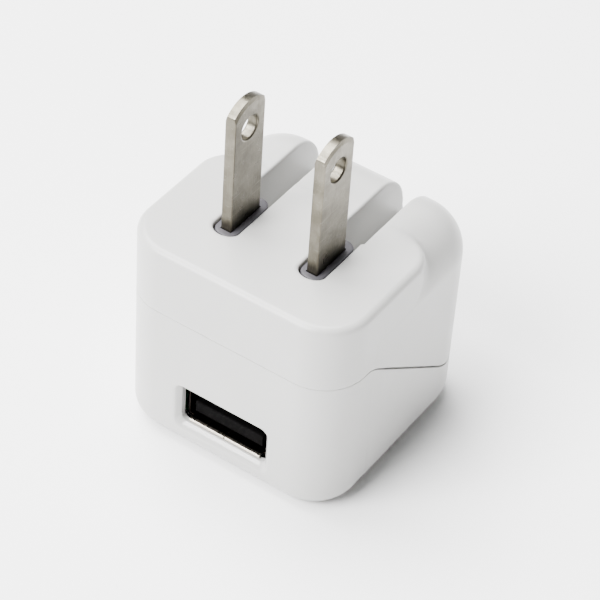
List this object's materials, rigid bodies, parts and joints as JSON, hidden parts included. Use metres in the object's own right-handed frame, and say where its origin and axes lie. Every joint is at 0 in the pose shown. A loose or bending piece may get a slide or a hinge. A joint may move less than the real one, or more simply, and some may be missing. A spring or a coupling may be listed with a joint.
{
  "type": "usb wall charger",
  "caption": "Compact wall charger cube with flat folding blades, slots that take them at the rear, and a USB type A port on the front face.",
  "frame": {"origin": "on the resting face, under the middle of the case's box", "axes": "+Z out of the outlet face along the open blades, -Y out of the face with the USB port, +Y to the end where the slots run out"},
  "size_m": [0.033, 0.0326, 0.0492],
  "materials": {
    "white_plastic": "satin moulded polycarbonate",
    "grey_plastic": "moulded grey nylon",
    "inner_plastic": "natural nylon",
    "nickel_plate": "nickel-plated brass, handled",
    "spring_metal": "phosphor bronze strip",
    "tinned_steel": "tin-plated steel",
    "black_plastic": "black moulding",
    "gold_plate": "gold-flashed copper alloy",
    "board_laminate": "glass-epoxy board with green resist",
    "ferrite": "sintered ferrite",
    "winding_tape": "polyester tape over enamelled copper",
    "capacitor_sleeve": "shrunk sleeve on an aluminium can",
    "ceramic_blue": "lacquered ceramic disc",
    "resistor_lacquer": "lacquered ceramic rod",
    "epoxy": "moulded epoxy package",
    "insulating_film": "polyester film"
  },
  "bodies": {
    "housing": {"rear_housing": "white_plastic", "front_housing": "white_plastic", "carrier_retainer": "inner_plastic", "detent_spring": "spring_metal", "ac_spring_left": "spring_metal", "ac_spring_right": "spring_metal", "usb_shell": "tinned_steel", "usb_insulator": "black_plastic", "usb_contact_1": "gold_plate", "usb_contact_2": "gold_plate", "usb_contact_3": "gold_plate", "usb_contact_4": "gold_plate", "main_pcb": "board_laminate", "transformer_core_front": "ferrite", "transformer_core_rear": "ferrite", "transformer_bobbin": "black_plastic", "transformer_winding": "winding_tape", "bulk_capacitor_left": "capacitor_sleeve", "bulk_capacitor_right": "capacitor_sleeve", "output_capacitor": "capacitor_sleeve", "y_capacitor": "ceramic_blue", "fusible_resistor": "resistor_lacquer", "filter_choke": "ferrite", "optocoupler": "epoxy", "bridge_rectifier": "epoxy", "controller_chip": "epoxy", "output_diode": "epoxy", "insulation_sheet": "insulating_film"},
    "blades": {"blade_carrier": "grey_plastic", "blade_left": "nickel_plate", "blade_right": "nickel_plate"}
  },
  "joints": [
    {"name": "blade_fold", "type": "hinge", "parent": "housing", "child": "blades", "pos_m": [0, -0.00585, 0.0274], "axis": [-1, 0, 0], "range_deg": [0, 90]}
  ]
}
